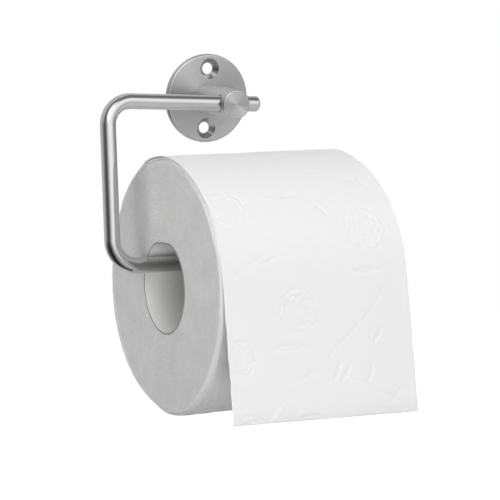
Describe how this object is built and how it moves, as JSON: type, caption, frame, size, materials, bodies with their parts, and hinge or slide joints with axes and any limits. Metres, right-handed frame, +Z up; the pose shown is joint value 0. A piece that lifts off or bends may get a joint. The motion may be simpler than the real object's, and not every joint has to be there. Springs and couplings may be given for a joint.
{
  "type": "toilet paper holder",
  "caption": "Wall-mounted toilet paper holder: a round rosette and post carry a swinging bent-rod bracket with an open arm that a full paper roll hangs on.",
  "frame": {"origin": "centre of the rosette's back face, on the wall", "axes": "+Y into the wall, +Z up, +X right along the wall and along the bracket's pivot axis"},
  "size_m": [0.1276, 0.1425, 0.1742],
  "materials": {
    "rosette_steel": "turned satin",
    "post_steel": "turned satin",
    "screw_steel": "plain",
    "rod_steel": "fine satin polish",
    "core_cardboard": "matt",
    "roll_paper": "soft matt, cut end of wound tissue",
    "turn_paper": "soft matt, embossed tissue",
    "sheet_paper": "soft matt, embossed tissue"
  },
  "bodies": {
    "wall_mount": {"rosette": "rosette_steel", "post": "post_steel", "set_screw": "screw_steel"},
    "bracket": {"bracket_rod": "rod_steel"},
    "roll_wrap": {"outer_turn": "turn_paper"},
    "hanging_sheet": {"loose_sheet": "sheet_paper"},
    "roll": {"paper_core": "core_cardboard", "wound_paper": "roll_paper"}
  },
  "joints": [
    {"name": "bracket_swing", "type": "hinge", "parent": "wall_mount", "child": "bracket", "pos_m": [0, -0.03, 0], "axis": [-1, 0, 0], "range_deg": [0, 135]},
    {"name": "roll_slide", "type": "slide", "parent": "bracket", "child": "roll_wrap", "axis": [0.9992, 0.0089, 0.0391], "range_m": [-0.006, 0.108]},
    {"name": "roll_spin", "type": "hinge", "parent": "roll_wrap", "child": "roll", "pos_m": [-0.048, -0.06449, -0.088], "axis": [0.9992, 0.0089, 0.0391], "continuous": true},
    {"name": "sheet_hang", "type": "hinge", "parent": "roll_wrap", "child": "hanging_sheet", "pos_m": [-0.048, -0.06449, -0.088], "axis": [-0.9992, -0.0089, -0.0391], "range_deg": [-135, 0]}
  ],
  "couplings": [
    {"joint": "sheet_hang", "follows": "bracket_swing", "ratio": -1}
  ]
}
